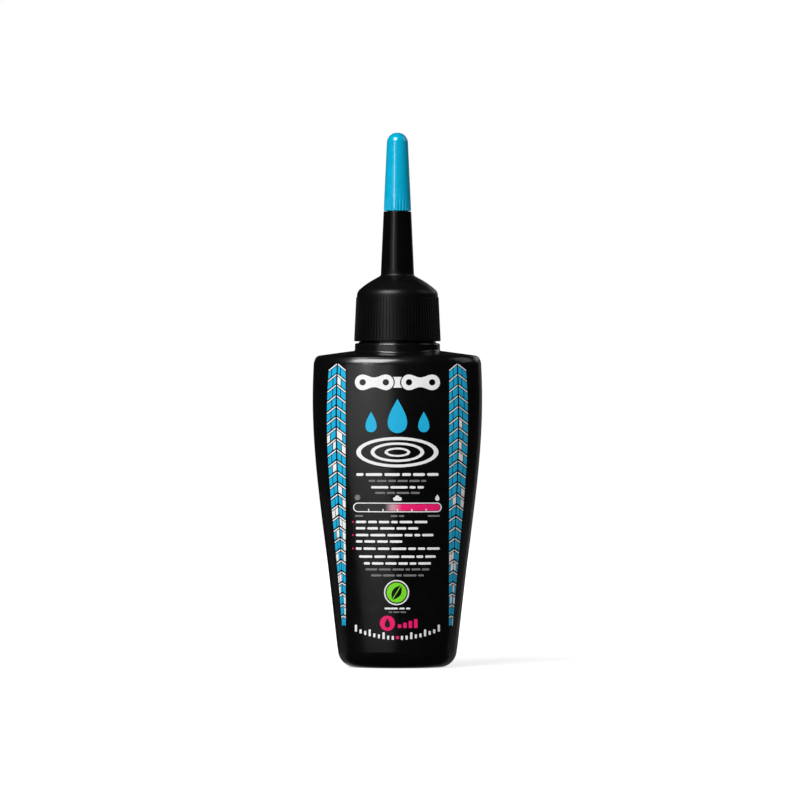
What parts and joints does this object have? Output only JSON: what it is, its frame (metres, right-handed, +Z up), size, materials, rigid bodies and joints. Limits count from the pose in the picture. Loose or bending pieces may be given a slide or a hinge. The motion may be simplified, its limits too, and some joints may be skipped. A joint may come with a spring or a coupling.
{
  "type": "chain lube bottle",
  "caption": "Oval squeeze bottle that tapers to its base, with a ribbed screw-on nozzle cap and a push-on tip cap, for dripping lubricant onto a bicycle chain.",
  "frame": {"origin": "middle of the base, on the plane that the bottle stands on", "axes": "+Z up along the neck and nozzle, +X along the wide side, the printed front faces -Y"},
  "size_m": [0.0428, 0.0288, 0.135],
  "materials": {
    "bottle_plastic": "black blow-moulded polyethylene, half gloss",
    "washer_foam": "white sealing foam, matt",
    "nozzle_plastic": "black injection-moulded plastic, satin",
    "tip_plastic": "bright blue injection-moulded plastic, half gloss"
  },
  "bodies": {
    "bottle": {"bottle": "bottle_plastic"},
    "washer": {"sealing_washer": "washer_foam"},
    "nozzle": {"nozzle_cap": "nozzle_plastic"},
    "tip": {"tip_cap": "tip_plastic"}
  },
  "joints": [
    {"name": "nozzle_cap_rise", "type": "slide", "parent": "bottle", "child": "washer", "axis": [0, 0, 1], "range_m": [0, 0.00477]},
    {"name": "nozzle_cap_turn", "type": "hinge", "parent": "washer", "child": "nozzle", "pos_m": [0, 0, 0.0934], "axis": [0, 0, 1], "range_deg": [0, 540]},
    {"name": "tip_cap_pull", "type": "slide", "parent": "nozzle", "child": "tip", "axis": [0, 0, 1], "range_m": [0, 0.022]}
  ],
  "couplings": [
    {"joint": "nozzle_cap_rise", "follows": "nozzle_cap_turn", "m_per_rad": 0.00050532}
  ]
}
